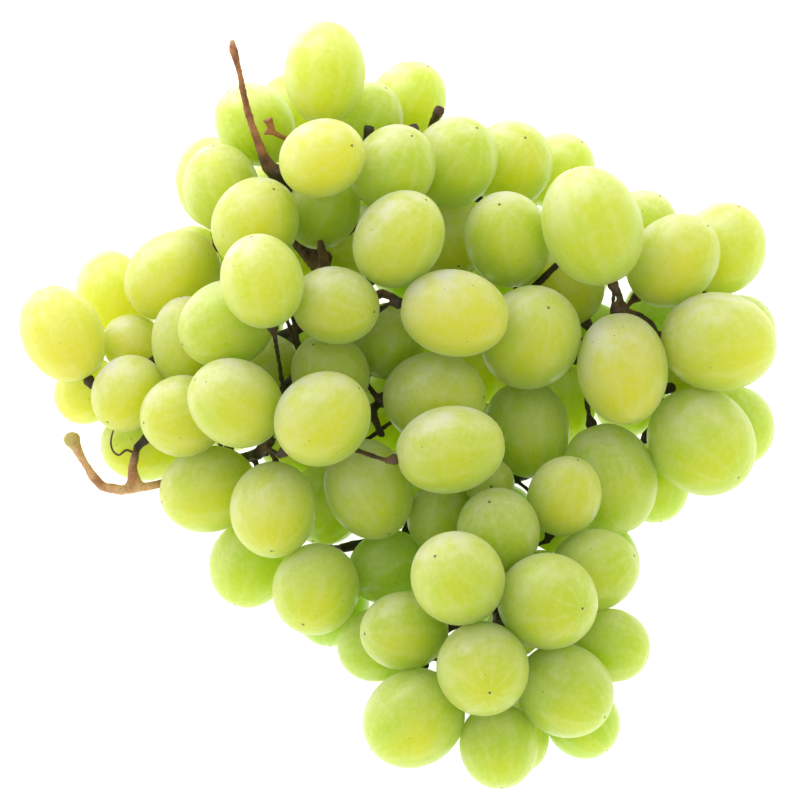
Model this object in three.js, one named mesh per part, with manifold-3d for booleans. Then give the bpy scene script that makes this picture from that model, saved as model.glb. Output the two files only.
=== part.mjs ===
// A bunch of white table grapes laid on a table: one branching stem and its berries.
// Millimetres, +Z up, the table at z = 0 and the bunch centred on the origin.
// The stem end points away along +Y, the tip toward -Y, and the bunch rests on its back.
import * as THREE from 'three';
import { mergeVertices } from 'three/addons/utils/BufferGeometryUtils.js';
import Module from 'manifold-3d';

const wasm = await Module();
wasm.setup();

// ---- driving dimensions -----------------------------------------------------------------

const FACE_TILT = THREE.MathUtils.degToRad(20); // the bunch's face leans this far from level
const FACE_HEIGHT = 57; // height of the face's datum over the table
const BERRY_GAP = 0.35; // clearance between neighbouring skins
const FLAT_SPOT = 0.6; // how far a resting berry is pressed flat by the table
const BERRY_FACETS = [10, 7]; // round and along a berry of the face
const SPRIG_FACETS = [8, 6]; // the same for the berries of a joined sprig
const NECK_RADIUS = 2; // the patch where two pressed berries of a sprig stick together
const NECK_SIDES = 5;
const PEDICEL_RADIUS = 0.85; // a pedicel is the short stalk of one berry
const PEDICEL_LEAD = 2.5; // a pedicel leaves its berry straight for this far
const PEDICEL_AIM = 6.5; // and then makes for the branch nearest to this far out
const PEDICEL_SPAN = 5; // spacing of the points along a pedicel
const PEDICEL_SIDES = 5;
const COLLAR_RADIUS = 1.5; // the swollen end of a pedicel, where the berry sits
const COLLAR_END = 2.2; // how far from the skin the collar has narrowed to the pedicel
const STEM_GAP = 0.5; // clearance between the stem and a berry's skin
const BRANCH_SPAN = 5; // spacing of the points along a branch
const BRANCH_SIDES = 6;
const TABLE_SIDE = 400;
const TABLE_DEPTH = 40;
const SEAM = 1e-4; // vertices closer than this are one vertex
const SMALLEST_EDGE = 0.01; // shorter slivers left by a join are closed up

// ---- the bunch's own frame --------------------------------------------------------------

// Berries and branches are placed on the bunch's face: across to the right, along toward
// the stem end, and proud toward the side that looks up.
const ACROSS = new THREE.Vector3(1, 0, 0);
const ALONG = new THREE.Vector3(0, Math.cos(FACE_TILT), Math.sin(FACE_TILT));
const PROUD = new THREE.Vector3(0, -Math.sin(FACE_TILT), Math.cos(FACE_TILT));
const UP = new THREE.Vector3(0, 0, 1);

function facePoint(across, along, proud) {
  return new THREE.Vector3(0, 0, FACE_HEIGHT)
    .addScaledVector(ACROSS, across)
    .addScaledVector(ALONG, along)
    .addScaledVector(PROUD, proud);
}

// A direction on the face: turn in degrees from across toward along, lean toward proud.
function faceDirection(turn, lean) {
  const t = THREE.MathUtils.degToRad(turn);
  const l = THREE.MathUtils.degToRad(lean);
  return new THREE.Vector3()
    .addScaledVector(ACROSS, Math.cos(t) * Math.cos(l))
    .addScaledVector(ALONG, Math.sin(t) * Math.cos(l))
    .addScaledVector(PROUD, Math.sin(l));
}

// ---- the berries ------------------------------------------------------------------------

// One row is one berry: across, along, proud, width, length, then the turn and the lean
// of its blossom end.
const CLUSTERS = {
  shoulder_berry: [
    [-17, 74, -32, 18, 23, 88, 5],
    [1, 68, -50, 17, 20, 60, 20],
    [-33, 63, -47, 17, 20, 130, 20],
    [-7, 63, -44, 16, 19, 60, 20],
    [-17, 54, -16, 17, 22, 20, 50],
    [-1, 52, -25, 18, 21, 60, 40],
    [12, 54, -37, 19, 22, 55, 35],
    [-43, 48, -56, 17, 21, 100, 5],
    [-38, 48, -40, 17, 20, 100, 20],
    [-31, 40, -26, 19, 22, 60, 40],
    [-16, 40, -36, 16, 19, 60, 30],
    [0, 35, -12, 19, 23, 55, 25],
    [-31, 26, -8, 18, 21, 103, 20],
  ],
  right_berry: [
    [43, 39, -20, 22, 27, 110, 8],
    [55, 39, -46, 16, 18, 60, 20],
    [62, 31, -32, 19, 23, 45, 20],
    [74, 34, -48, 19, 21, 70, 20],
    [25, 36, -33, 19, 24, 105, 50],
    [50, 7, -22, 20, 25, -83, 10],
    [71, 12, -30, 22, 26, -5, 8],
  ],
  left_berry: [
    [-52, 24, -51, 19, 23, 213, 5],
    [-65, 23, -58, 17, 23, 108, 10],
    [-45.5, 13, -37, 17, 22, 100, 10],
    [-39, 17, -22, 19, 22, 205, 15],
    [-49, -3, -27, 18, 19, 190, 25],
    [-37, -1, -15, 19, 22, 150, 22],
    [-43, -19, -32, 19, 22, 195, 15],
    [-34, -37, -36, 18, 20, 250, 10],
    [-28, -25, -16, 19, 22, 268, 35],
    [-19, -42, -19, 19, 21, 250, 40],
  ],
  heart_berry: [
    [-13, 21, -16, 17, 20, -10, 30],
    [12, 20, -12, 19, 24, -10, 5],
    [29, 13, -24, 22, 26, 60, 55],
    [-18, -4, -5, 20, 22, 40, 18],
    [-7, -20, -18, 19, 23, -65, 20],
    [11, -10, -12, 19, 24, 10, 0],
  ],
  tip_berry: [
    [13.5, -39.5, 2, 20, 22, 135, 50],
    [31.5, -45, -1, 21, 23, -10, 50],
    [18.5, -58.5, 0, 20, 22, -74, 63],
    [25, -28, -17, 18, 20, 108, 47],
    [36, -23, -26, 16, 18, 70, 20],
    [43, -38, -16, 18, 20, 20, 20],
    [46, -55, -20, 16, 17, -18, 10],
    [36, -65, -7, 20, 22, -33, 20],
    [22, -76, -8, 17, 19, -86, 15],
    [4, -70, -8, 21, 23, 215, 10],
    [1, -52, -8, 17, 20, 183, 30],
  ],
};

// Sprigs whose berries are pressed together, each sprig one piece. A row with no turn is
// a berry out of sight, which hangs straight off the nearest branch. The small ones are
// berries that never filled out.
const SPRIGS = {
  shoulder_pair: [
    [25, 54, -49, 19, 20, 60, 50],
    [36, 53, -60, 16, 18, 50, 20],
  ],
  left_end_pair: [
    [-75, 15, -44, 18, 23, 120, 0],
    [-71.5, 2, -51, 14, 16, 215, 5],
  ],
  left_low_trio: [
    [-62, 0, -39.5, 16, 18, 235, 30],
    [-58, -11.5, -48, 17, 21, 190, 10],
    [-59, 11, -48, 13, 15, 150, 10],
  ],
  heart_trio: [
    [6, 3, -27, 20, 23, 0, 20],
    [-2, 13, -35, 16, 18, 60, 40],
    [-14, 6, -25, 17, 19, 120, 40],
  ],
  right_end_trio: [
    [66.5, -9, -31, 23, 26, -45, 30],
    [77, -6, -50, 17, 18, -70, 10],
    [64, 5, -46, 9, 11],
  ],
  right_low_trio: [
    [47, -18.5, -34, 21, 25, -72, 5],
    [55.5, -20, -46, 16, 18, -80, 10],
  ],
  shoulder_back: [
    [12, 38, -42, 17, 20],
    [-10, 32, -50, 16, 19],
    [-25, 66, -58, 16, 18],
  ],
  left_back: [
    [-48, 37, -63, 16, 18],
    [-27, 8, -36, 17, 19],
    [-17, -23, -38, 17, 19, 250, 20],
  ],
  middle_back: [], // its berries all lie on the table
  heart_back: [
    [-3, -38, -26, 16, 18, 200, 20],
    [11, -26, -23, 15, 17, 95, 40],
    [-16.5, -46.5, -35, 17, 19, 270, 10],
    [-5, -56, -24, 16, 17, 190, 0],
    [1, -71, -26, 17, 19, -100, 10],
    [19.5, -19, -20.5, 11, 12],
    [28.5, -53.5, -18.5, 12, 12],
  ],
  right_back: [
    [28, -8, -34, 19, 22, -80, 20],
    [37, 0, -46, 17, 19],
    [36, 27, -44, 18, 20, 121, 10],
    [75, 16.5, -50, 17, 19, 40, 10],
  ],
  tip_back: [
    [43, -74.5, -25, 16, 17, -50, 10],
    [24, -76, -24, 16, 17, -60, 10],
    [34.5, -31.5, -32, 11, 12],
  ],
};

// The berries of those sprigs that lie straight on the table. One row is one berry: its
// place in X and Y, its width and its length.
const RESTING = {
  right_low_trio: [
    [44, -22, 16, 19],
  ],
  shoulder_back: [
    [-26, 70, 18, 21],
    [-6, 68, 18, 20],
    [14, 66, 18, 21],
    [-24, 49, 18, 20],
    [3, 48, 18, 21],
    [20, 46, 18, 20],
  ],
  left_back: [
    [-41, 37, 18, 21],
    [-21, 29, 18, 20],
    [-42, 12, 17, 20],
    [-24, 9, 18, 20],
  ],
  middle_back: [
    [-1, 28, 18, 20],
    [-4, 9, 18, 20],
    [19, 11, 18, 21],
    [5, -9, 17, 20],
    [20, 27, 18, 20],
  ],
  heart_back: [
    [17, -30, 17, 19],
    [17, -9, 17, 20],
    [12, -47, 15, 17],
  ],
  right_back: [
    [44, 56, 18, 20],
    [60, 55, 17, 20],
    [58, 36, 18, 21],
    [32, 28, 17, 19],
    [54, 13, 16, 19],
  ],
  tip_back: [
    [33, -26.5, 16, 18],
    [33, -46, 15, 17],
  ],
};

// ---- the stem's layout ------------------------------------------------------------------

// The branches, each a run of face points with the branch's radius at each.
const BRANCHES = {
  // the main stalk, from its cut end to the last berries of the tip
  rachis: [
    [-37.8, 81.3, -24, 0.9], [-37.4, 78.5, -24, 1.3], [-36.3, 74.5, -25, 0.9],
    [-34.6, 66, -27, 1.1], [-31.8, 57.5, -29, 1.3], [-29.8, 53, -31, 1.9],
    [-27, 50, -33, 2.8], [-26, 41, -44, 2.4], [-18, 30, -43, 2.4], [-8, 17, -42, 2.3],
    [2, 4, -41, 2.2], [8, -12, -37, 2.1], [14, -27, -33, 1.9], [19, -39, -20, 1.7],
    [22, -49, -13, 1.5], [21, -60, -17, 1.2],
  ],
  shoulder: [
    [-26, 41, -44, 2], [-13, 46, -51, 1.8], [4, 50, -53, 1.7], [20, 46, -58, 1.5],
    [34, 40, -60, 1.2],
  ],
  left_shoulder: [[-27, 48, -35, 2], [-36, 44, -50, 1.6], [-43, 38, -54, 1.2]],
  left_wing: [
    [-12, 23, -41, 1.9], [-28, 14, -46, 1.6], [-44, 8, -50, 1.5], [-57, 2, -47, 1.2],
  ],
  // the bare side branch that sticks out on the left, its berries gone
  left_lateral: [
    [-8, 17, -41, 1.9], [-25, 4, -29, 1.6], [-31, -11, -28, 1.7], [-35, -13, -39, 1.6],
    [-45, -17, -45, 1.4], [-54, -19, -40, 1.3], [-67, -20, -40, 1.5], [-72, -14, -41, 1.1],
    [-75, -8, -42, 1.9],
  ],
  right_wing: [
    [-8, 17, -41, 2], [12, 21, -44, 1.7], [28, 14, -46, 1.6], [40, 9, -46, 1.5],
    [47, 14, -40, 1.3], [50.5, 20, -34, 1.2], [57, 17, -34, 1.2], [60, 2, -42, 1.1],
  ],
  lower_right: [[8, -12, -37, 1.8], [22, -18, -35, 1.5], [38, -14, -48, 1.2]],
  lower_left: [[14, -27, -33, 1.7], [2, -31, -36, 1.5], [-11, -33, -34, 1.4], [-20, -36, -38, 1.1]],
};

// Short spurs and knuckles that carry no berry, most of them left where one dropped off.
const SPURS = {
  crown_spur: [
    [-27, 50, -33, 1.4], [-23.5, 55, -34, 0.9], [-25.9, 59.2, -32.5, 0.8],
    [-28.6, 60.4, -31, 0.9], [-31, 60.2, -30.5, 0.8],
  ],
  crown_knuckle: [[-28.6, 60.4, -31, 0.9], [-29.3, 62, -30.3, 1.2], [-30, 63.6, -29.5, 1.4]],
  shoulder_spur_1: [[-12, 47, -51, 1.3], [-8, 54, -38, 1], [-7, 62, -33, 1.6]],
  shoulder_spur_2: [[4, 50, -53, 1.3], [3, 56, -44, 1], [3, 62, -36, 1.6]],
  shoulder_spur_3: [[4, 50, -53, 1.3], [7, 62, -46, 1], [9, 66, -39, 1.6]],
  cross_spur: [[24, 17, -44, 1.4], [28, 23, -36, 1.2], [37, 32, -31, 1]],
  wing_spur: [[50.5, 20, -34, 1.2], [49.5, 24, -33, 1], [47.5, 29, -34, 1.3]],
  left_spur: [[-31, -11, -28, 1.6], [-29, -9, -24, 1.5]],
  heart_spur: [[2, 4, -41, 1.4], [-6, -2, -30, 1.3], [-4, -8, -21, 1.1]],
  bare_spur: [
    [-60.5, -19, -40, 2], [-60.8, -16, -39.5, 1.4], [-60.5, -12.5, -38.5, 1.1],
    [-59, -10, -38, 1.2], [-57, -8.3, -38, 1.6],
  ],
  tip_spur: [[22, -49, -13, 1.5], [22, -48, -8, 1.3]],
  middle_knuckle: [[-18, 30, -43, 1.4], [-17, 30, -31, 1.8], [-18, 36, -26, 0.9]],
  upper_knuckle: [[-8, 17, -41, 1.3], [-5, 24, -29, 1.4], [1, 22, -22, 0.9]],
};

// A branch as a run of closely spaced points on its curve, with the radius at each.
function branchRun(rows) {
  const curve = new THREE.CatmullRomCurve3(rows.map(([a, l, p]) => facePoint(a, l, p)));
  const spans = Math.ceil(curve.getLength() / BRANCH_SPAN);
  return Array.from({ length: spans + 1 }, (_, index) => {
    const where = (index / spans) * (rows.length - 1);
    const before = Math.min(Math.floor(where), rows.length - 2);
    const radius = THREE.MathUtils.lerp(rows[before][3], rows[before + 1][3], where - before);
    return { point: curve.getPoint(index / spans), radius };
  });
}

const branches = Object.values(BRANCHES).map(branchRun);
const spurs = Object.values(SPURS).map(branchRun);
const forks = branches.flat();
const knots = [...forks, ...spurs.flat()];

// The point of the branches where a pedicel would leave for a place in the bunch.
function nearestFork(point) {
  return forks.reduce((best, knot) =>
    (knot.point.distanceTo(point) < best.point.distanceTo(point) ? knot : best));
}

// ---- making the berries -----------------------------------------------------------------

// How readily a berry gives way to its neighbours: the outer ones keep their place.
const OUTER_EASE = 0.15;
const INNER_EASE = 0.5;
const RESTING_EASE = 1;

function makeBerry(home, width, length, axis, ease) {
  return { home, centre: home.clone(), radius: width / 2, halfLength: length / 2, axis, ease };
}

// The direction straight off the nearest branch.
function outward(home) {
  return home.clone().sub(nearestFork(home).point).normalize();
}

function faceBerry([across, along, proud, width, length, turn, lean]) {
  const home = facePoint(across, along, proud);
  if (turn === undefined) return makeBerry(home, width, length, outward(home), INNER_EASE);
  return makeBerry(home, width, length, faceDirection(turn, lean), OUTER_EASE);
}

function restingBerry([x, y, width, length]) {
  const home = new THREE.Vector3(x, y, width / 2);
  return makeBerry(home, width, length, outward(home), RESTING_EASE);
}

// Every node of the bunch but the stem: its name and its berries.
const faceNodes = Object.entries(CLUSTERS).flatMap(([cluster, rows]) =>
  rows.map((row, index) => ({
    name: `${cluster}_${index + 1}`,
    berries: [faceBerry(row)],
    links: [],
  })));
const sprigNodes = Object.entries(SPRIGS).map(([name, rows]) => ({
  name,
  berries: [...rows.map(faceBerry), ...(RESTING[name] ?? []).map(restingBerry)],
  links: [],
}));
const berryNodes = [...faceNodes, ...sprigNodes];
const berries = berryNodes.flatMap((node) => node.berries);

// ---- settling the berries against each other --------------------------------------------

const BERRY_RANGE = 28; // centres farther apart than this can't touch
const STEM_RANGE = 20; // nor can a centre and a point of the stem
const SLAB_STEPS = 5; // turns of the slab between two berries toward its thickest
const DEPTH_SLACK = 0.85; // the share of the hold that a berry loses toward the table
const PEDICEL_PUSH = 0.15; // how much a berry gives way to a pedicel, the rest bends it
const PEDICEL_STIFFNESS = 0.3;
const NEAR_HOME = { steps: 400, hold: 0.12 }; // hold is the share of the way home per step
const DRAWN_TOGETHER = { steps: 200, hold: 0.03 };
const SET_FREE = { steps: 500, hold: 0 };

// How far a berry's skin reaches from its centre in a direction.
function reach(berry, direction) {
  const w = berry.radius ** 2;
  const l = berry.halfLength ** 2;
  const c = direction.dot(berry.axis);
  return Math.sqrt(w + (l - w) * c * c);
}

// The point of a berry's skin that lies farthest in a direction, from its centre.
function skinPoint(berry, direction) {
  const w = berry.radius ** 2;
  const l = berry.halfLength ** 2;
  const c = direction.dot(berry.axis);
  return direction.clone().multiplyScalar(w)
    .addScaledVector(berry.axis, (l - w) * c)
    .divideScalar(reach(berry, direction));
}

// The thickest slab that fits between two berries: its thickness and its direction.
function slabBetween(first, second) {
  const offset = second.centre.clone().sub(first.centre);
  const distance = offset.length();
  const direction = offset.clone().divideScalar(distance);
  for (let step = 0; step < SLAB_STEPS; step += 1) {
    const pull = offset.clone()
      .sub(skinPoint(first, direction))
      .sub(skinPoint(second, direction));
    pull.addScaledVector(direction, -pull.dot(direction));
    direction.addScaledVector(pull, 1 / distance).normalize();
  }
  const gap = offset.dot(direction) - reach(first, direction) - reach(second, direction);
  return { gap, direction };
}

// How far a point is from a berry's skin, and the way out.
function skinDistance(berry, point) {
  const offset = point.clone().sub(berry.centre);
  const height = offset.dot(berry.axis);
  const side = offset.addScaledVector(berry.axis, -height);
  const depth = Math.hypot(side.length() / berry.radius, height / berry.halfLength);
  const slope = side.divideScalar(berry.radius ** 2)
    .addScaledVector(berry.axis, height / berry.halfLength ** 2);
  const distance = (depth * (depth - 1)) / slope.length();
  return { distance, direction: slope.normalize() };
}

function isNear(first, second, range) {
  return first.distanceToSquared(second) < range * range;
}

// The point a given way out from a berry's stem end.
function beyondStemEnd(berry, way) {
  return berry.centre.clone().addScaledVector(berry.axis, -berry.halfLength - way);
}

// Each berry's pedicel starts as a straight run of beads from its stem end to the stem.
function startPedicel(berry) {
  const outlet = beyondStemEnd(berry, PEDICEL_LEAD);
  const knot = nearestFork(beyondStemEnd(berry, PEDICEL_AIM));
  const spans = Math.max(1, Math.round(outlet.distanceTo(knot.point) / PEDICEL_SPAN));
  berry.pedicel = Array.from({ length: spans + 1 }, (_, index) =>
    outlet.clone().lerp(knot.point, index / spans));
}

function followBerry(berry) {
  berry.pedicel[0].copy(beyondStemEnd(berry, PEDICEL_LEAD));
}

// Draws a berry back toward its home, across the face more than toward the table.
function holdHome(berry, hold) {
  const back = berry.home.clone().sub(berry.centre);
  berry.centre.addScaledVector(back, hold)
    .addScaledVector(PROUD, -DEPTH_SLACK * hold * back.dot(PROUD));
}

function stayOnTable(berry) {
  const low = berry.centre.z - reach(berry, UP);
  if (low < -FLAT_SPOT) berry.centre.z -= low + FLAT_SPOT;
}

// Parts two berries that are too close, and draws linked ones together.
function spaceBerries(first, second, linked) {
  if (!linked && !isNear(first.centre, second.centre, BERRY_RANGE)) return;
  const { gap, direction } = slabBetween(first, second);
  if (gap >= BERRY_GAP && !linked) return;
  const push = (BERRY_GAP - gap) / (first.ease + second.ease);
  first.centre.addScaledVector(direction, -push * first.ease);
  second.centre.addScaledVector(direction, push * second.ease);
}

// Moves a berry and a point of the stem apart; the berry takes its share of the move.
function partFromStem(berry, point, radius, share) {
  if (!isNear(berry.centre, point, STEM_RANGE)) return;
  const { distance, direction } = skinDistance(berry, point);
  const overlap = radius + STEM_GAP - distance;
  if (overlap <= 0) return;
  berry.centre.addScaledVector(direction, -overlap * share);
  point.addScaledVector(direction, overlap * (1 - share));
}

function smoothPedicel(beads) {
  for (let index = 1; index < beads.length - 1; index += 1) {
    const middle = beads[index - 1].clone().add(beads[index + 1]).multiplyScalar(0.5);
    beads[index].lerp(middle, PEDICEL_STIFFNESS);
  }
}

function settle(steps, hold) {
  for (let step = 0; step < steps; step += 1) {
    for (const { links } of sprigNodes) {
      for (const [first, second] of links) spaceBerries(first, second, true);
    }
    berries.forEach((berry, index) => {
      holdHome(berry, hold);
      stayOnTable(berry);
      for (const other of berries.slice(index + 1)) spaceBerries(berry, other, false);
      for (const knot of knots) partFromStem(berry, knot.point, knot.radius, 1);
    });
    for (const owner of berries) {
      if (!owner.pedicel) startPedicel(owner);
      followBerry(owner);
      smoothPedicel(owner.pedicel);
      for (const bead of owner.pedicel.slice(0, -1)) {
        for (const berry of berries) {
          if (berry === owner && bead === owner.pedicel[0]) continue;
          partFromStem(berry, bead, PEDICEL_RADIUS, PEDICEL_PUSH * berry.ease);
        }
      }
    }
  }
}

// Pairs each berry of a sprig with the nearest berry that the sprig already holds.
function sprigLinks(members) {
  const joined = [members[0]];
  const waiting = members.slice(1);
  const links = [];
  while (waiting.length > 0) {
    const [nearest] = waiting
      .flatMap((berry) => joined.map((other) => ({ berry, other, ...slabBetween(berry, other) })))
      .sort((first, second) => first.gap - second.gap);
    waiting.splice(waiting.indexOf(nearest.berry), 1);
    joined.push(nearest.berry);
    links.push([nearest.berry, nearest.other]);
  }
  return links;
}

// First near home, then with the sprigs drawn together, and last with nothing held.
settle(NEAR_HOME.steps, NEAR_HOME.hold);
for (const node of sprigNodes) node.links = sprigLinks(node.berries);
settle(DRAWN_TOGETHER.steps, DRAWN_TOGETHER.hold);
settle(SET_FREE.steps, SET_FREE.hold);

// ---- solids -----------------------------------------------------------------------------

// Merges the vertices that are closer than a tolerance and drops the triangles that
// collapse, such as the ones at a lathe's two ends.
function weld(geometry, tolerance) {
  const welded = mergeVertices(geometry, tolerance);
  const { array } = welded.index;
  const corners = [];
  for (let index = 0; index < array.length; index += 3) {
    const [a, b, c] = array.slice(index, index + 3);
    if (a !== b && b !== c && c !== a) corners.push(a, b, c);
  }
  welded.setIndex(corners);
  return welded;
}

function toSolid(geometry) {
  geometry.deleteAttribute('normal');
  geometry.deleteAttribute('uv');
  const { attributes, index } = weld(geometry, SEAM);
  return new wasm.Manifold(new wasm.Mesh({
    numProp: 3,
    vertProperties: new Float32Array(attributes.position.array),
    triVerts: new Uint32Array(index.array),
  }));
}

function toGeometry(solid) {
  const { vertProperties, triVerts } = solid.getMesh();
  const geometry = new THREE.BufferGeometry();
  geometry.setAttribute('position', new THREE.BufferAttribute(vertProperties, 3));
  geometry.setIndex(new THREE.BufferAttribute(triVerts, 1));
  const welded = weld(geometry, SMALLEST_EDGE);
  welded.computeVertexNormals();
  return welded;
}

const table = toSolid(new THREE.BoxGeometry(TABLE_SIDE, TABLE_SIDE, TABLE_DEPTH)
  .translate(0, 0, -TABLE_DEPTH / 2));

function berrySolid(berry, facets) {
  const geometry = new THREE.SphereGeometry(1, ...facets);
  geometry.scale(berry.radius, berry.halfLength, berry.radius);
  geometry.applyQuaternion(new THREE.Quaternion()
    .setFromUnitVectors(new THREE.Vector3(0, 1, 0), berry.axis));
  geometry.translate(...berry.centre);
  return toSolid(geometry);
}

// The short bridge where two berries of a sprig are pressed together.
function neckSolid([first, second]) {
  const between = second.centre.clone().sub(first.centre);
  const size = [NECK_RADIUS, NECK_RADIUS, between.length(), NECK_SIDES];
  const geometry = new THREE.CylinderGeometry(...size);
  geometry.applyQuaternion(new THREE.Quaternion()
    .setFromUnitVectors(new THREE.Vector3(0, 1, 0), between.clone().normalize()));
  geometry.translate(...first.centre.clone().lerp(second.centre, 0.5));
  return toSolid(geometry);
}

function nodeSolid(node) {
  const facets = node.berries.length > 1 ? SPRIG_FACETS : BERRY_FACETS;
  const flesh = node.berries.map((berry) => berrySolid(berry, facets));
  return [...flesh, ...node.links.map(neckSolid)]
    .reduce((sum, solid) => sum.add(solid))
    .subtract(table);
}

const FIRST_SIDE = new THREE.Vector3(0.31, 0.2, 0.93); // along no limb of the stem

// A limb of the stem: a turned profile with its axis bent along a run of points.
function limbSolid(run, sides) {
  const curve = new THREE.CatmullRomCurve3(run.map(({ point }) => point));
  const spans = run.length - 1;
  const profile = [
    new THREE.Vector2(0, 0),
    ...run.map(({ radius }, index) => new THREE.Vector2(radius, index)),
    new THREE.Vector2(0, spans),
  ];
  const geometry = new THREE.LatheGeometry(profile, sides);
  const frames = frameRun(curve, spans);
  const position = geometry.attributes.position;
  for (let index = 0; index < position.count; index += 1) {
    const { point, side, other } = frames[Math.round(position.getY(index))];
    const bent = point.clone()
      .addScaledVector(side, position.getZ(index))
      .addScaledVector(other, position.getX(index));
    position.setXYZ(index, ...bent);
  }
  return toSolid(geometry);
}

// Points and cross directions along a curve, turning as little as they can.
function frameRun(curve, spans) {
  const frames = [];
  let side = FIRST_SIDE;
  for (let index = 0; index <= spans; index += 1) {
    const tangent = curve.getTangent(index / spans);
    side = side.clone().addScaledVector(tangent, -side.dot(tangent)).normalize();
    frames.push({
      point: curve.getPoint(index / spans),
      side,
      other: new THREE.Vector3().crossVectors(tangent, side),
    });
  }
  return frames;
}

// A pedicel runs from its collar at the berry's stem end to the branch.
function pedicelRun(berry) {
  const stalk = berry.pedicel.slice(1).map((point) => ({ point, radius: PEDICEL_RADIUS }));
  return [
    { point: beyondStemEnd(berry, STEM_GAP), radius: COLLAR_RADIUS },
    { point: beyondStemEnd(berry, COLLAR_END), radius: PEDICEL_RADIUS },
    ...stalk,
  ];
}

function stemSolid() {
  const limbs = [
    ...[...branches, ...spurs].map((run) => limbSolid(run, BRANCH_SIDES)),
    ...berries.map((berry) => limbSolid(pedicelRun(berry), PEDICEL_SIDES)),
  ];
  return limbs.reduce((sum, limb) => sum.add(limb));
}

// ---- the bunch --------------------------------------------------------------------------

const skin = new THREE.MeshStandardMaterial({ color: 0xc3d65c, roughness: 0.42, metalness: 0 });
const bark = new THREE.MeshStandardMaterial({ color: 0x8a5a3c, roughness: 0.8, metalness: 0 });

const bunch = new THREE.Group();

function addPiece(name, solid, material) {
  const mesh = new THREE.Mesh(toGeometry(solid), material);
  mesh.name = name;
  bunch.add(mesh);
}

addPiece('stem', stemSolid(), bark);
for (const node of berryNodes) addPiece(node.name, nodeSolid(node), skin);

// The origin is under the middle of the bunch's box.
const middle = new THREE.Box3().setFromObject(bunch).getCenter(new THREE.Vector3());
bunch.position.set(-middle.x, -middle.y, 0);

export default bunch;
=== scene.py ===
"""The looks of a bunch of white table grapes, lying on its back on a pale floor.

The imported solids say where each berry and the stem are. Every berry is read back from
its node as an oval with a stem end and a blossom end, and a fine berry is grown in its
place. The stem is made again from its solid as knobbly wood. Lengths are in millimetres
until a mesh is made, and MM turns them into metres.
"""
import math

import bpy
import numpy as np
from mathutils import Matrix, Vector, noise


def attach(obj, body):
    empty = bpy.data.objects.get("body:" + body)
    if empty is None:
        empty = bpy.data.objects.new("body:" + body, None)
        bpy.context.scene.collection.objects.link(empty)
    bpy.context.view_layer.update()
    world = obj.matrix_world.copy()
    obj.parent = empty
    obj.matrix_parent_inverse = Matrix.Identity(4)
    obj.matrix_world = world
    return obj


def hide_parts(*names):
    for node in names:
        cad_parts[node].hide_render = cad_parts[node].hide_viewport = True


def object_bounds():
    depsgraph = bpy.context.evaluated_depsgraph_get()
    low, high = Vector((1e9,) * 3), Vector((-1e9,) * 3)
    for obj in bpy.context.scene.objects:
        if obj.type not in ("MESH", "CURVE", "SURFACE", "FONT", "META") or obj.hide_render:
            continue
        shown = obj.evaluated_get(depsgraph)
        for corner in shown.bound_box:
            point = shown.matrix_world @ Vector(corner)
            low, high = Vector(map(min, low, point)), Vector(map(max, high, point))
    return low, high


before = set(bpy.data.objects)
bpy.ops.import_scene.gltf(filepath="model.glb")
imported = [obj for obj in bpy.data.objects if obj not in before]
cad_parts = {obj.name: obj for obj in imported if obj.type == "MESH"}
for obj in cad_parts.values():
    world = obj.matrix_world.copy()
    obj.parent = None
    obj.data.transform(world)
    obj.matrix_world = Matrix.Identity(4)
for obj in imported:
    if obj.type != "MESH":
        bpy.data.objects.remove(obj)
cad_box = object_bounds()

MM = 0.001

# ---- the camera ----------------------------------------------------------------------------

FACE_TILT = math.radians(20)  # the bunch's face leans this far from level
FACE_MIDDLE = Vector((0.44, -6.85, 57))  # the point of the face that the camera is over
CAMERA_DISTANCE = 1375  # from the face's middle
VIEW_WIDTH = 180  # what the picture takes in across
VIEW_DEPTH = 25  # how far below the face's middle it does so
SENSOR = 36
FARTHEST_SEEN = 20  # metres

# Directions on the face: across it, along it toward the stem end, and out of it.
ACROSS = Vector((1, 0, 0))
ALONG = Vector((0, math.cos(FACE_TILT), math.sin(FACE_TILT)))
PROUD = Vector((0, -math.sin(FACE_TILT), math.cos(FACE_TILT)))


def face_vector(across, along, proud):
    """A direction from its parts across the face, along it and out of it."""
    return ACROSS * across + ALONG * along + PROUD * proud


def make_camera():
    """Looks straight down on the bunch's face, stem end up."""
    eye = (FACE_MIDDLE + PROUD * CAMERA_DISTANCE) * MM
    data = bpy.data.cameras.new("camera")
    data.sensor_width = SENSOR
    data.lens = SENSOR * (CAMERA_DISTANCE + VIEW_DEPTH) / VIEW_WIDTH
    data.clip_end = FARTHEST_SEEN
    camera = bpy.data.objects.new("camera", data)
    camera.matrix_world = Matrix((
        (ACROSS.x, ALONG.x, PROUD.x, eye.x),
        (ACROSS.y, ALONG.y, PROUD.y, eye.y),
        (ACROSS.z, ALONG.z, PROUD.z, eye.z),
        (0, 0, 0, 1),
    ))
    bpy.context.scene.collection.objects.link(camera)
    bpy.context.scene.camera = camera


# ---- reading the berries from the frame ----------------------------------------------------

FIT_SCALE = 10  # brings the fitted numbers near 1
FIT_SHARES = (0.9, 0.8, 0.7, 0.6) + 6 * (0.5,)  # of the corners that a round of the fit keeps
FLAT_TRIM = 1e-3  # corners lower than this are the table's flats


def node_faces(node):
    """The three corners of each of a node's triangles, in millimetres."""
    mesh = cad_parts[node].data
    mesh.calc_loop_triangles()
    places = np.empty(3 * len(mesh.vertices))
    mesh.vertices.foreach_get("co", places)
    corners = np.empty(3 * len(mesh.loop_triangles), dtype=int)
    mesh.loop_triangles.foreach_get("vertices", corners)
    return (places.reshape(-1, 3) / MM)[corners].reshape(-1, 3, 3)


def corners_of(faces):
    """The corners of some triangles, each of them once."""
    return np.unique(faces.reshape(-1, 3).round(3), axis=0)


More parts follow.
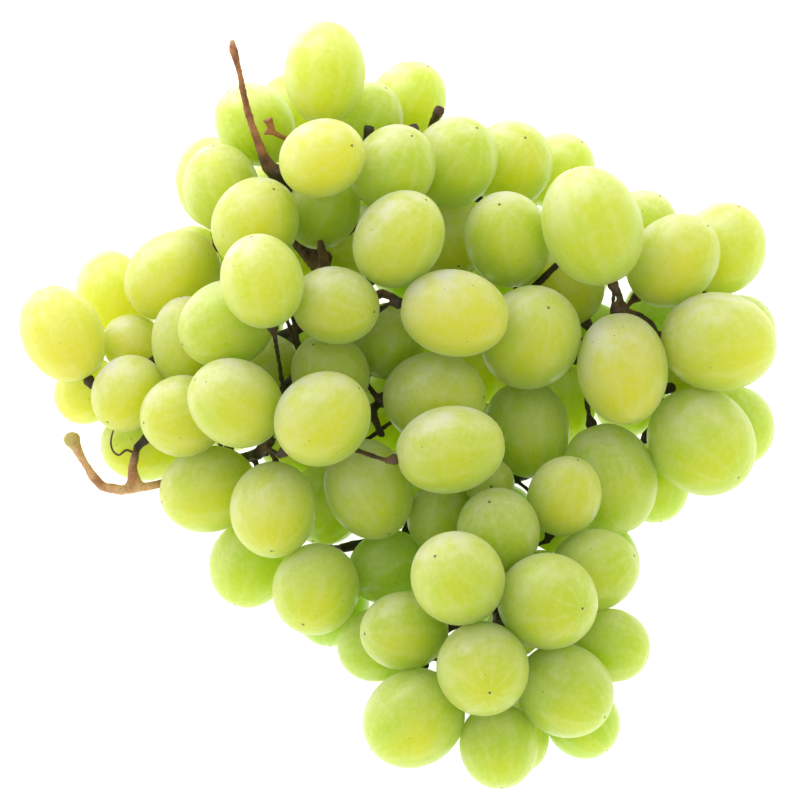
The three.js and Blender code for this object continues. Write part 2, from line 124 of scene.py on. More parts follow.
def fit_oval(points):
    """The oval that most of the points lie on: centre, axis, radius and half length."""
    middle = points.mean(axis=0)
    x, y, z = (points - middle).T / FIT_SCALE
    terms = np.column_stack([x * x, y * y, z * z, 2 * x * y, 2 * x * z, 2 * y * z,
                             2 * x, 2 * y, 2 * z])
    kept = np.ones(len(points), dtype=bool)
    for share in FIT_SHARES:
        found = np.linalg.lstsq(terms[kept], np.ones(kept.sum()), rcond=None)[0]
        misfit = np.abs(terms @ found - 1)
        kept = misfit <= np.quantile(misfit, share)
    xx, yy, zz, xy, xz, yz = found[:6]
    form = np.array([[xx, xy, xz], [xy, yy, yz], [xz, yz, zz]])
    centre = -np.linalg.solve(form, found[6:])
    spread, axes = np.linalg.eigh(form / (1 + centre @ form @ centre))
    sizes = FIT_SCALE / np.sqrt(spread)
    return {
        "centre": middle + FIT_SCALE * centre,
        "axis": axes[:, 0],
        "half_length": sizes[0],
        "radius": (sizes[1] + sizes[2]) / 2,
    }


USUAL_RADIUS = 8.5  # of a berry
GROUP_REACH = 8  # how far from a berry's middle its faces may point
FEWEST_FACES = 50  # fewer than this are a neck's
CROWDING = 2.6  # only the corners of a neck between two berries lie this close together
MOST_NEIGHBOURS = 2


def berry_groups(faces):
    """Sorts a node's triangles by berry: the ones that face away from one middle."""
    normals = np.cross(faces[:, 1] - faces[:, 0], faces[:, 2] - faces[:, 0])
    normals /= np.linalg.norm(normals, axis=1)[:, None]
    inner = faces.mean(axis=1) - USUAL_RADIUS * normals
    left = np.arange(len(faces))
    while len(left) >= FEWEST_FACES:
        apart = np.linalg.norm(inner[left, None] - inner[left], axis=2)
        crowd = (apart < GROUP_REACH / 2).sum(axis=1).argmax()
        middle = inner[left[apart[crowd] < GROUP_REACH / 2]].mean(axis=0)
        near = np.linalg.norm(inner[left] - middle, axis=1) < GROUP_REACH
        if near.sum() < FEWEST_FACES:
            break
        yield faces[left[near]]
        left = left[~near]


def without_necks(corners):
    """Leaves out the crowded corners of the necks that join a sprig's berries."""
    apart = np.linalg.norm(corners[:, None] - corners, axis=2)
    return corners[(apart < CROWDING).sum(axis=1) <= MOST_NEIGHBOURS]


def read_ovals(node):
    """The berries of a node, each as the oval that its corners lie on."""
    groups = [corners_of(faces) for faces in berry_groups(node_faces(node))]
    if len(groups) > 1:
        groups = [without_necks(corners) for corners in groups]
    return [fit_oval(corners[corners[:, 2] > FLAT_TRIM]) for corners in groups]


# ---- the berries of the bunch --------------------------------------------------------------

NEARLY_ROUND = 0.05  # an oval whose half length and radius are this close shows no axis


def point_to_blossom(oval, stem):
    """Turns an oval's axis so that it points away from the pedicel."""
    if abs(oval["half_length"] - oval["radius"]) < NEARLY_ROUND:
        away = oval["centre"] - stem[np.linalg.norm(stem - oval["centre"], axis=1).argmin()]
        oval["axis"] = away / np.linalg.norm(away)
    reach = oval["axis"] * oval["half_length"]
    ends = (oval["centre"] + reach, oval["centre"] - reach)
    ahead, behind = (np.linalg.norm(stem - end, axis=1).min() for end in ends)
    if ahead < behind:
        oval["axis"] = -oval["axis"]
    return oval


def read_bunch():
    """Every berry of the bunch, by the name of its node."""
    stem = corners_of(node_faces("stem"))
    return {
        node: [point_to_blossom(oval, stem) for oval in read_ovals(node)]
        for node in sorted(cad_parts) if node != "stem"
    }


# ---- meshes made of rings ------------------------------------------------------------------

def ring_quads(rings, sides):
    """The quads between rings of points that turn left, as seen from the first ring's end."""
    quads = []
    for start in range(0, (rings - 1) * sides, sides):
        for side in range(sides):
            beside = (side + 1) % sides
            quads.append((start + side, start + sides + side,
                          start + sides + beside, start + beside))
    return quads


def shifted(face, count):
    """A face of a mesh that follows so many points of others."""
    return tuple(corner + count for corner in face)


def tube_faces(rings, sides):
    """The faces of a closed tube: the quads between its rings and a cap on each end."""
    last = (rings - 1) * sides
    return [tuple(range(sides)), *ring_quads(rings, sides),
            tuple(reversed(range(last, last + sides)))]


# ---- growing one fine berry ----------------------------------------------------------------

# The sides of a berry where light is painted into its colour: a painted sheen of whiter wax
# toward the window, a painted glow of gold flesh with thin wax out of the face, and painted shade
# of deeper green away from the light.
PAINTED_SHEEN_SIDE = np.array(face_vector(-0.4, 0.8, 0.45).normalized())
PAINTED_GLOW_SIDE = np.array(face_vector(0.15, -0.4, 0.9).normalized())
PAINTED_SHADE_SIDE = np.array(face_vector(0.6, -0.75, -0.2).normalized())

RINGS = 46
SPOKES = 54
RING_CROWDING = 0.8  # brings the rings together at both ends
SWELL = 0.24  # closes the gap that the solids keep to each other
LUMP = 0.09  # how far the skin strays from a true oval
LUMP_WAVES = 5
LUMP_PACE = 1.6  # how fast the waves run round a berry
TAPER = 0.012  # a berry is a little slimmer toward its blossom end
BLOSSOM_DIP = (0.3, 1.3)  # depth and radius
STEM_DIP = (0.45, 1.9)
BLOSSOM_TIP = (0.32, 0.42)  # height and radius of the scar in the blossom's dip
SCAR_RADIUS = 0.36
SCAR_EDGE = 1.6  # the scar has faded out at this many of its radii
SCAR_LOBES = 3
SCAR_LOBE_DEPTH = 0.15


def berry_grid():
    """The polar angle and the turn of each point of a berry, ring by ring, poles last."""
    t = np.arange(1, RINGS) / RINGS
    polar = math.pi * t - RING_CROWDING * np.sin(2 * math.pi * t) / 2
    turn = 2 * math.pi * np.arange(SPOKES) / SPOKES
    grid = np.stack(np.meshgrid(polar, turn, indexing="ij"), axis=-1).reshape(-1, 2)
    return np.vstack([grid, [0, 0], [math.pi, 0]])


def berry_faces():
    """The quads between a berry's rings and the triangles round both of its poles."""
    first_pole = (RINGS - 1) * SPOKES
    last_ring = first_pole - SPOKES
    faces = ring_quads(RINGS - 1, SPOKES)
    for spoke in range(SPOKES):
        beside = (spoke + 1) % SPOKES
        faces.append((first_pole, spoke, beside))
        faces.append((first_pole + 1, last_ring + beside, last_ring + spoke))
    return faces


def bell(distance, height, radius):
    """A round rise: full height in the middle, about a third of it at the radius."""
    return height * np.exp(-(distance / radius) ** 2)


def lumps(directions, rng):
    """A gentle unevenness all round a berry, from a few slow waves."""
    waves = rng.normal(size=(LUMP_WAVES, 3)) * LUMP_PACE
    phases = rng.uniform(0, 2 * math.pi, LUMP_WAVES)
    return LUMP * np.sin(directions @ waves.T + phases).mean(axis=1)


def grow_berry(oval, grid, rng):
    """A berry's points in the bunch and in its own axes, its scar and how far it faces the three
    sides of painted sheen, glow and shade.
    """
    polar, turn = grid.T
    radius, half_length = oval["radius"], oval["half_length"]
    directions = np.column_stack([np.sin(polar) * np.cos(turn), np.sin(polar) * np.sin(turn),
                                  np.cos(polar)])
    local = directions * (radius, radius, half_length)
    local[:, :2] *= (1 - TAPER * np.cos(polar))[:, None]
    normals = directions / (radius, radius, half_length)
    normals /= np.linalg.norm(normals, axis=1)[:, None]
    across = np.hypot(local[:, 0], local[:, 1])
    blossom = polar < math.pi / 2
    lobes = 1 + SCAR_LOBE_DEPTH * np.cos(SCAR_LOBES * turn + rng.uniform(0, 2 * math.pi))
    rise = SWELL + lumps(directions, rng)
    rise -= np.where(blossom, bell(across, *BLOSSOM_DIP), bell(across, *STEM_DIP))
    rise += np.where(blossom, bell(across / lobes, *BLOSSOM_TIP), 0)
    scar = np.where(blossom, np.clip(SCAR_EDGE - across / (SCAR_RADIUS * lobes), 0, 1), 0)
    local += normals * rise[:, None]
    toward = np.array(Vector(oval["axis"]).to_track_quat("Z", "Y").to_matrix())
    places = local @ toward.T + oval["centre"]
    places[:, 2] = np.maximum(places[:, 2], 0)
    outward = normals @ toward.T
    # How far each point faces the window (painted sheen), out of the face (painted glow) and away
    # from the light (painted shade).
    sides = np.column_stack([outward @ side for side in (PAINTED_SHEEN_SIDE, PAINTED_GLOW_SIDE, PAINTED_SHADE_SIDE)])
    return places, local, scar, np.clip(sides, 0, 1)


# ---- the tints -----------------------------------------------------------------------------

SHADE_REACH = 28  # a berry is shaded by the ones that are nearer than this
SHADE_RISE = 8  # and fully by one that stands this much higher
FULL_SHADE = 1.65  # the shade of this many berries close by is as deep as it gets


def shade_berries(bunch):
    """Notes how far each berry is hidden from the light by the ones above it, from 0 to 1."""
    ovals = [oval for node in bunch.values() for oval in node]
    centres = np.array([oval["centre"] for oval in ovals])
    heights = centres @ np.array(PROUD)
    for oval, centre, height in zip(ovals, centres, heights):
        near = np.clip(1 - np.linalg.norm(centres - centre, axis=1) / SHADE_REACH, 0, 1)
        above = np.clip((heights - height) / SHADE_RISE, 0, 1)
        oval["shade"] = min((near * above).sum() / FULL_SHADE, 1)


RIPE_FROM = 0.66  # the bunch ripens toward its left end, from this share of its width on
RIPE_RUN = 0.24  # and is fully ripe this much further
YELLOW = 0.38  # how yellow a berry is on average
YELLOW_SPREAD = 0.16
RIPE_YELLOW = 0.45  # what ripeness adds to it
DUST = 0.3  # how dusty a berry is on average at the tip
DUST_SPREAD = 0.18
STEM_DUST_AND_HAZE = 0.6  # what one at the stem end has more: partly dust, partly a painted haze of light at the bright end
TIP_SHADE = 0.34  # how much greener and darker the bunch's tip is: painted shade where the light falls off
GREEN_LOST = 0.6  # the share of its green, the painted shade, that a ripe berry has lost


def berry_tint(oval, rng):
    """How yellow a berry is, how much dust and painted haze it has, and how green its painted
    shade is, each from 0 to 1.
    """
    low, high = (np.array(corner) / MM for corner in cad_box)
    left = 1 - (oval["centre"][0] - low[0]) / (high[0] - low[0])
    ripeness = np.clip((left - RIPE_FROM) / RIPE_RUN, 0, 1)
    stemward = (oval["centre"][1] - low[1]) / (high[1] - low[1])
    # Painted shade: greener for the berries above it and toward the tip.
    green = min(oval["shade"] + TIP_SHADE * (1 - stemward) ** 2, 1)
    return (
        np.clip(rng.normal(YELLOW, YELLOW_SPREAD) + RIPE_YELLOW * ripeness, 0, 1),
        np.clip(rng.normal(DUST + STEM_DUST_AND_HAZE * stemward, DUST_SPREAD), 0, 1),
        green * (1 - GREEN_LOST * ripeness),
    )


# ---- meshes and pieces ---------------------------------------------------------------------

def add_attribute(mesh, name, values):
    """Gives each point of a mesh a number, or a row of three, that its material reads."""
    kind, field = ("FLOAT", "value") if np.ndim(values) == 1 else ("FLOAT_VECTOR", "vector")
    mesh.attributes.new(name, kind, "POINT").data.foreach_set(field, np.ravel(values))


def smooth_mesh(name, places, faces):
    """A smooth shaded mesh from points in millimetres."""
    mesh = bpy.data.meshes.new(name)
    mesh.from_pydata((places * MM).tolist(), [], faces)
    mesh.shade_smooth()
    return mesh


def show(mesh, material):
    """Puts a mesh in the scene, as an object of the same name."""
    mesh.materials.append(material)
    shown = bpy.data.objects.new(mesh.name, mesh)
    bpy.context.scene.collection.objects.link(shown)
    return shown


def ride_for(mesh, material, node):
    """Puts a mesh in the scene in place of a CAD node."""
    piece = show(mesh, material)
    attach(piece, "root")
    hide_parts(node)


SPECKLE_SPREAD = 500  # each berry's marks are taken from a place of its own in the patterns


def make_berries(node, ovals, material, rng):
    """The fine berries of one node, as one piece."""
    grid = berry_grid()
    berries = [(*grow_berry(oval, grid, rng), berry_tint(oval, rng)) for oval in ovals]
    places, own_places, scars, sides, tints = zip(*berries)
    faces = [shifted(face, index * len(grid))
             for index in range(len(ovals)) for face in berry_faces()]
    speckled = [own + rng.uniform(0, SPECKLE_SPREAD, 3) for own in own_places]
    mesh = smooth_mesh(f"fine_{node}", np.vstack(places), faces)
    add_attribute(mesh, "berry_place", np.vstack(own_places))
    add_attribute(mesh, "speckle_place", np.vstack(speckled))
    # Each berry's yellow, its dust and haze, and its painted shade.
    add_attribute(mesh, "tint", np.repeat(tints, len(grid), axis=0))
    add_attribute(mesh, "scar", np.hstack(scars))
    # The three sides of painted sheen, glow and shade.
    add_attribute(mesh, "sides", np.vstack(sides))
    ride_for(mesh, material, node)


# ---- the fine stem -------------------------------------------------------------------------

VOXEL = 0.48  # the width of the stem's faces
SMOOTH_ROUNDS = 14
SMOOTH_IN = 0.5  # each round pulls a point this far toward its neighbours' middle
SMOOTH_OUT = -0.53  # and then pushes it away from it
TURNED_SIDES = 12
# How far out of the berry the collar is, and its radius there.
COLLAR_PROFILE = ((-0.5, 1.0), (-0.1, 1.35), (0.5, 1.6), (1.2, 1.45), (2.0, 1.05), (3.0, 0.85))
# The height over the side branch's end, and the bulb's radius there.
BULB_PROFILE = ((1.9, 0.7), (1.4, 1.6), (0, 2.2), (-1.4, 1.6), (-1.9, 0.7))
BULB_REACH = 4  # the corners this near the end have the bulb's centre in their middle
SHRINK = 0.2  # the stem has dried a little thinner than its solid
KNOB = (0.2, 2.6)  # height and spacing of the stem's knobs
FIBRE = (0.09, 0.7)  # and of the roughness of its bark


def turned_mesh(centre, axis, profile):
    """A closed solid turned round an axis: its heights, falling, and the radius at each."""
    turn = 2 * math.pi * np.arange(TURNED_SIDES) / TURNED_SIDES
    rings = [(radius * np.cos(turn), radius * np.sin(turn), np.full(TURNED_SIDES, height))
             for height, radius in profile]
    local = np.vstack([np.column_stack(ring) for ring in rings])
    toward = np.array(Vector(axis).to_track_quat("Z", "Y").to_matrix())
    return local @ toward.T + centre, tube_faces(len(rings), TURNED_SIDES)


def collar_mesh(oval):
    """The swollen end of a pedicel, at its berry's stem end."""
    profile = [(-oval["half_length"] - out, radius) for out, radius in COLLAR_PROFILE]
    return turned_mesh(oval["centre"], oval["axis"], profile)


def bulb_mesh(corners):
    """The rounded end of the bare side branch, which is the stem's left end."""
    left_end = corners[corners[:, 0].argmin()]
    near = np.linalg.norm(corners - left_end, axis=1) < BULB_REACH
    return turned_mesh(corners[near].mean(axis=0), (0, 0, 1), BULB_PROFILE)


def rough_stem(bunch):
    """The stem's solid, its bulb and every pedicel's collar as one mesh, in millimetres."""
    corners, index = np.unique(node_faces("stem").reshape(-1, 3).round(3), axis=0,
                               return_inverse=True)
    places = [corners]
    faces = [tuple(face) for face in index.reshape(-1, 3) if len(set(face)) == 3]
    count = len(corners)
    collars = [collar_mesh(oval) for ovals in bunch.values() for oval in ovals]
    for where, pattern in [*collars, bulb_mesh(corners)]:
        places.append(where)
        faces += [shifted(face, count) for face in pattern]
        count += len(where)
    return np.vstack(places), faces


def remesh(places, faces):
    """The union of closed bodies as one even mesh: its points, its faces and its edges."""
    mesh = bpy.data.meshes.new("rough")
    mesh.from_pydata(places.tolist(), [], faces)
    body = bpy.data.objects.new("rough", mesh)
    bpy.context.scene.collection.objects.link(body)
    modifier = body.modifiers.new("even", "REMESH")
    modifier.mode = "VOXEL"
    modifier.voxel_size = VOXEL
    even = body.evaluated_get(bpy.context.evaluated_depsgraph_get()).to_mesh()
    points = np.empty(3 * len(even.vertices))
    even.vertices.foreach_get("co", points)
    quads = [tuple(polygon.vertices) for polygon in even.polygons]
    edges = np.empty(2 * len(even.edges), dtype=int)
    even.edges.foreach_get("vertices", edges)
    bpy.data.objects.remove(body)
    return points.reshape(-1, 3), quads, edges.reshape(-1, 2)


def smoothed(points, edges):
    """Rounds a mesh off and keeps its thickness, by shrinking and swelling in turn."""
    ends = np.vstack([edges, edges[:, ::-1]])
    valence = np.bincount(ends[:, 0], minlength=len(points))[:, None]
    for step in (SMOOTH_IN, SMOOTH_OUT) * SMOOTH_ROUNDS:
        total = np.zeros_like(points)
        for axis in range(3):
            total[:, axis] = np.bincount(ends[:, 0], points[ends[:, 1], axis], len(points))
        points = points + step * (total / valence - points)
    return points


def rough_bark(points, normals):
    """Raises a stem's knobs and the fine roughness of its bark."""
    rise = np.zeros(len(points))
    for height, spacing in (KNOB, FIBRE):
        rise += height * np.array([noise.noise(Vector(point / spacing)) for point in points])
    return points + normals * rise[:, None]


SHELTER_REACH = 14  # how far a berry reaches to darken the stem with painted shade
OPEN_SHELTER = 1.4  # the stem looks bare with no more berries than this about it
FULL_SHELTER = 3.2  # and is deep inside with this many


def berries_near(points, bunch):
    """How closely the berries stand round each point of the stem, from 0 to 1."""
    total = np.zeros(len(points))
    for ovals in bunch.values():
        for oval in ovals:
            away = np.linalg.norm(points - oval["centre"], axis=1) - oval["radius"]
            total += np.clip(1 - away / SHELTER_REACH, 0, 1)
    return np.clip((total - OPEN_SHELTER) / (FULL_SHELTER - OPEN_SHELTER), 0, 1)


YOUNG_REACH = 5  # the side branch is still green this far from its end
DRY_REACH = 38  # and has dried to tan this far
STALK_REACH = 45  # the stalk is brown this far from its cut end
CUT_REACH = 2.5


def nearness(points, end, reach):
    """1 at the end of the stem, falling to 0 at the given reach."""
    return np.clip(1 - np.linalg.norm(points - end, axis=1) / reach, 0, 1)


def make_stem(bunch, material):
    """The stem as one fine piece, with its collars, knobs and bark."""
    points, faces, edges = remesh(*rough_stem(bunch))
    points = smoothed(points, edges)
    even = smooth_mesh("even_stem", points, faces)
    normals = np.array([normal.vector for normal in even.vertex_normals])
    points = rough_bark(points - SHRINK * normals, normals)
    mesh = smooth_mesh("fine_stem", points, faces)
    left_end = points[points[:, 0].argmin()]
    cut_end = points[points[:, 1].argmax()]
    # Painted shade on the bark, where the berries crowd round it.
    add_attribute(mesh, "berry_shade", berries_near(points, bunch))
    add_attribute(mesh, "young", nearness(points, left_end, YOUNG_REACH))
    add_attribute(mesh, "dry", nearness(points, left_end, DRY_REACH))
    add_attribute(mesh, "stalk", nearness(points, cut_end, STALK_REACH))
    add_attribute(mesh, "cut", nearness(points, cut_end, CUT_REACH))
    ride_for(mesh, material, "stem")


# ---- the dried curl ------------------------------------------------------------------------

# A dead tendril on the bare side branch: how far each of its points is across, along and
# out of the face, from the face's middle.
CURL_PATH = (
    (-60.2, -12.2, -38.4), (-62.1, -11.4, -38.2), (-63.9, -12.5, -38.4), (-65.3, -11.4, -38.8),
    (-65.7, -9.3, -39), (-65.1, -6.8, -39), (-64.4, -5.7, -38.8),
)
CURL_RADIUS = 0.3
CURL_TIP = 0.16
CURL_STEPS = 60
CURL_SIDES = 8


def path_point(places, share):
    """A point a share of the way along a smooth run through the places."""
    where = share * (len(places) - 1)
    start = min(int(where), len(places) - 2)
    before, first, second, after = (
        places[min(max(start + step, 0), len(places) - 1)] for step in (-1, 0, 1, 2))
    part = where - start
    return 0.5 * (2 * first + (second - before) * part
                  + (2 * before - 5 * first + 4 * second - after) * part ** 2
                  + (3 * first - before - 3 * second + after) * part ** 3)


def make_curl(material):
    """The thin dried tendril, a closed tube that narrows to its tip."""
    places = [FACE_MIDDLE + face_vector(*row) for row in CURL_PATH]
    middles = [path_point(places, step / CURL_STEPS) for step in range(CURL_STEPS + 1)]
    points = []
    for step, middle in enumerate(middles):
        ahead = middles[min(step + 1, CURL_STEPS)] - middles[max(step - 1, 0)]
        side = ahead.cross(PROUD).normalized()
        other = side.cross(ahead).normalized()
        radius = CURL_RADIUS + (CURL_TIP - CURL_RADIUS) * step / CURL_STEPS
        for turn in range(CURL_SIDES):
            angle = 2 * math.pi * turn / CURL_SIDES
            points.append(middle + (side * math.cos(angle) + other * math.sin(angle)) * radius)
    faces = tube_faces(len(middles), CURL_SIDES)
    piece = show(smooth_mesh("dried_curl", np.array(points), faces), material)
    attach(piece, "root")


# ---- materials -----------------------------------------------------------------------------

def colour(red, green, blue):
    """An sRGB colour from 0 to 255 as the shader's linear one."""
    parts = [part / 255 for part in (red, green, blue)]
    return tuple(part / 12.92 if part <= 0.04045 else ((part + 0.055) / 1.055) ** 2.4
                 for part in parts) + (1,)


class Nodes:
    """A material's node tree, with a short call for each kind of node."""

    def __init__(self, name):
        self.material = bpy.data.materials.new(name)
        self.material.use_nodes = True
        self.tree = self.material.node_tree
        self.tree.nodes.clear()
        self.shader = self.make("ShaderNodeBsdfPrincipled")
        output = self.make("ShaderNodeOutputMaterial")
        self.link(self.shader.outputs["BSDF"], output.inputs["Surface"])

    def make(self, kind, **settings):
        made = self.tree.nodes.new(kind)
        for name, value in settings.items():
            setattr(made, name, value)
        return made

    def link(self, source, target):
        self.tree.links.new(source, target)

    def put(self, target, value):
        """Links a socket, or sets it to a plain value."""
        if isinstance(value, bpy.types.NodeSocket):
            self.link(value, target)
        else:
            target.default_value = value

    def attribute(self, name, output="Fac"):
        return self.make("ShaderNodeAttribute", attribute_name=name).outputs[output]

    def maths(self, operation, *values, clamp=False):
        made = self.make("ShaderNodeMath", operation=operation, use_clamp=clamp)
        for target, value in zip(made.inputs, values):
            self.put(target, value)
        return made.outputs[0]

    def times(self, first, second):
        return self.maths("MULTIPLY", first, second)

    def line(self, value, slope, start, clamp=False):
        """The value times the slope, plus the start."""
        return self.maths("MULTIPLY_ADD", value, slope, start, clamp=clamp)

    def mix(self, share, first, second):
        """The first colour where the share is 0, the second where it is 1."""
        made = self.make("ShaderNodeMix", data_type="RGBA")
        for target, value in zip((made.inputs[0], made.inputs[6], made.inputs[7]),
                                 (share, first, second)):
            self.put(target, value)
        return made.outputs[2]

    def noise(self, place, scale, detail):
        made = self.make("ShaderNodeTexNoise")
        made.inputs["Scale"].default_value = scale
        made.inputs["Detail"].default_value = detail
        self.link(place, made.inputs["Vector"])
        return made.outputs["Fac"]

    def ramp(self, value, low, high):
        """0 below low, 1 above high and a straight slope between."""
        made = self.make("ShaderNodeMapRange")
        self.link(value, made.inputs["Value"])
        made.inputs["From Min"].default_value = low
        made.inputs["From Max"].default_value = high
        return made.outputs["Result"]

    def parts(self, vector):
        """The three numbers of a vector."""
        made = self.make("ShaderNodeSeparateXYZ")
        self.link(vector, made.inputs[0])
        return made.outputs

    def bump(self, height, distance, strength):
        made = self.make("ShaderNodeBump")
        made.inputs["Strength"].default_value = strength
        made.inputs["Distance"].default_value = distance
        self.link(height, made.inputs["Height"])
        self.link(made.outputs[0], self.shader.inputs["Normal"])


# ---- the grape skin ------------------------------------------------------------------------

GREEN = colour(194, 213, 28)
# The deeper green of painted shade.
SHADE_GREEN = colour(148, 184, 26)
GOLD = colour(226, 220, 28)
BLUSH = colour(236, 204, 96)
PALE_GREEN = colour(240, 244, 190)
# The white of the wax and of its painted sheen.
WAX_AND_SHEEN_WHITE = colour(238, 242, 206)
FRECKLE_BROWN = colour(132, 118, 48)
SCAR_BROWN = colour(84, 74, 34)
SHEEN_WHITE = colour(246, 252, 226)

# The scale, per millimetre, and the detail of the skin's patterns.
CLOUDS = (0.09, 2)
MOTTLES = (0.8, 3)
RUBBING = (0.2, 6)
GRAIN = (2.4, 3)

# The scale, size, share and strength of its dots.
FRECKLES = (0.42, 0.12, 0.14, 0.6)
SPECKS = (1.1, 0.16, 0.05, 0.4)
FRECKLE_CORE = 0.4  # the share of a dot that is at full strength

# Powers that narrow a side of the berry to a spot in its middle: the painted glow and the painted
# sheen.
GLOW_SPOT = 3
SHEEN_SPOT = 1.5

# What ripens the flesh to gold, with the painted glow, and the painted shade that keeps it green.
RIPE_CLOUDS = 0.9
GLOW_GOLD = 0.45
RIPE_START = 0.63
SHADE_SIDE_GREENING = 0.25
SHADE_GREENING = 0.8
SHADE_SIDE_DEPTH = 0.6
BLUSH_FROM = 0.72  # only the yellowest berries blush

VEINS = 9  # round a berry
VEIN_WANDER = 6
PALE_MOTTLES = 0.1
PALE_VEINS = 0.08

# The wax and its painted sheen: what every side has, what the window side and a berry with more
# dust have more, what painted shade and the painted glow take away, and what is left where it is
# rubbed off.
WAX_LEAST = 0.14
SHEEN_SIDE_WAX = 0.95
WAX_CLEAN = 0.45
WAX_DUST = 0.5
WAX_SHADE_LOSS = 0.7
GLOW_WAX_LOSS = 0.7
WAX_RUBBED = 0.3

# How deep light goes into the flesh, and the red, green and blue share of that depth.
FLESH_DEPTH = 42 * MM
FLESH_COLOURS = (0.85, 1.0, 0.2)


def freckles(nodes, place, scale, size, share, strength):
    """Small round dots in a share of the cells of a Voronoi pattern."""
    cells = nodes.make("ShaderNodeTexVoronoi")
    cells.inputs["Scale"].default_value = scale
    nodes.link(place, cells.inputs["Vector"])
    dot = nodes.ramp(cells.outputs["Distance"], size, size * FRECKLE_CORE)
    chosen = nodes.maths("LESS_THAN", nodes.parts(cells.outputs["Color"])[0], share)
    return nodes.times(nodes.times(dot, chosen), strength)


def flesh_colour(nodes, clouds, clear, shade_side):
    """Green flesh, painted a deeper green for shade, that turns gold where it is riper and where
    the glow is painted.
    """
    yellow, _, painted_shade = nodes.parts(nodes.attribute("tint", "Vector"))
    gold_share = nodes.line(clouds, RIPE_CLOUDS, nodes.maths("SUBTRACT", yellow, RIPE_START))
    # The painted glow turns the flesh gold.
    gold_share = nodes.line(clear, GLOW_GOLD, gold_share)
    # Painted shade keeps the flesh green on the side away from the light and on shaded berries.
    shade_greening = nodes.line(shade_side, SHADE_SIDE_GREENING, nodes.times(painted_shade, SHADE_GREENING))
    gold_share = nodes.maths("SUBTRACT", gold_share, shade_greening, clamp=True)
    # Painted shade deepens the green there too.
    shade_depth = nodes.maths("MAXIMUM", painted_shade, nodes.times(shade_side, SHADE_SIDE_DEPTH))
    green = nodes.mix(shade_depth, GREEN, SHADE_GREEN)
    gold = nodes.mix(nodes.ramp(yellow, BLUSH_FROM, 1), GOLD, BLUSH)
    return nodes.mix(gold_share, green, gold)


def pale_share(nodes, speckle, clouds):
    """Pale mottles, and the veins that run from end to end under the skin."""
    across, beside, _ = nodes.parts(nodes.attribute("berry_place", "Vector"))
    turn = nodes.maths("ARCTAN2", beside, across)
    wander = nodes.line(clouds, VEIN_WANDER, nodes.times(turn, VEINS))
    veins = nodes.ramp(nodes.maths("SINE", wander), 0.3, 1)
    mottle = nodes.ramp(nodes.noise(speckle, *MOTTLES), 0.45, 0.7)
    return nodes.line(mottle, PALE_MOTTLES, nodes.times(veins, PALE_VEINS))


def wax_and_sheen_share(nodes, speckle, sheen_side, clear):
    """How much waxy dust is left, with its painted sheen: most on the window side, least where
    the glow and the shade are painted.
    """
    _, dust, painted_shade = nodes.parts(nodes.attribute("tint", "Vector"))
    rubbed = nodes.ramp(nodes.noise(speckle, *RUBBING), 0.36, 0.64)
    wax_and_sheen = nodes.line(nodes.maths("POWER", sheen_side, SHEEN_SPOT), SHEEN_SIDE_WAX, WAX_LEAST)
    # Painted shade thins the wax.
    wax_and_sheen = nodes.times(wax_and_sheen, nodes.line(painted_shade, -WAX_SHADE_LOSS, 1))
    # The painted glow thins the wax.
    wax_and_sheen = nodes.times(wax_and_sheen, nodes.line(clear, -GLOW_WAX_LOSS, 1))
    wax_and_sheen = nodes.times(wax_and_sheen, nodes.line(dust, WAX_DUST, WAX_CLEAN))
    return nodes.times(wax_and_sheen, nodes.line(rubbed, 1 - WAX_RUBBED, WAX_RUBBED))


def skin_material():
    """Grape skin: clear yellow-green flesh under a thin waxy dust, with freckles and a scar, and
    painted sheen, glow and shade on its sides.
    """
    nodes = Nodes("grape_skin")
    speckle = nodes.attribute("speckle_place", "Vector")
    # The sides of painted sheen, painted glow and painted shade.
    sheen_side, glow_side, shade_side = nodes.parts(nodes.attribute("sides", "Vector"))
    clouds = nodes.noise(speckle, *CLOUDS)
    # The painted glow: a spot in the middle of the side out of the face.
    clear = nodes.maths("POWER", glow_side, GLOW_SPOT)
    wax_and_sheen = wax_and_sheen_share(nodes, speckle, sheen_side, clear)
    dots = nodes.maths("MAXIMUM", freckles(nodes, speckle, *FRECKLES),
                       freckles(nodes, speckle, *SPECKS))
    skin = flesh_colour(nodes, clouds, clear, shade_side)
    skin = nodes.mix(pale_share(nodes, speckle, clouds), skin, PALE_GREEN)
    skin = nodes.mix(wax_and_sheen, skin, WAX_AND_SHEEN_WHITE)
    skin = nodes.mix(dots, skin, FRECKLE_BROWN)
    skin = nodes.mix(nodes.ramp(nodes.attribute("scar"), 0.45, 0.95), skin, SCAR_BROWN)

    shader = nodes.shader
    nodes.link(skin, shader.inputs["Base Color"])
    nodes.link(nodes.line(wax_and_sheen, 0.6, 0.34), shader.inputs["Roughness"])
    nodes.bump(nodes.noise(speckle, *GRAIN), 0.12 * MM, 0.25)
    shader.inputs["Subsurface Weight"].default_value = 1
    shader.inputs["Subsurface Radius"].default_value = FLESH_COLOURS
    shader.inputs["Subsurface Scale"].default_value = FLESH_DEPTH
    shader.inputs["IOR"].default_value = 1.4
    shader.inputs["Coat Weight"].default_value = 0.3
    shader.inputs["Coat Roughness"].default_value = 0.2
    shader.inputs["Sheen Weight"].default_value = 0.25
    shader.inputs["Sheen Roughness"].default_value = 0.6
    shader.inputs["Sheen Tint"].default_value = SHEEN_WHITE
    return nodes.material


# ---- the bark ------------------------------------------------------------------------------

# Each kind of bark goes from its first colour to its second in blotches.
STALK_BROWN = (colour(196, 134, 84), colour(142, 90, 56))
DULL_BROWN = (colour(124, 92, 62), colour(80, 56, 42))
DRY_TAN = (colour(238, 194, 136), colour(200, 140, 88))
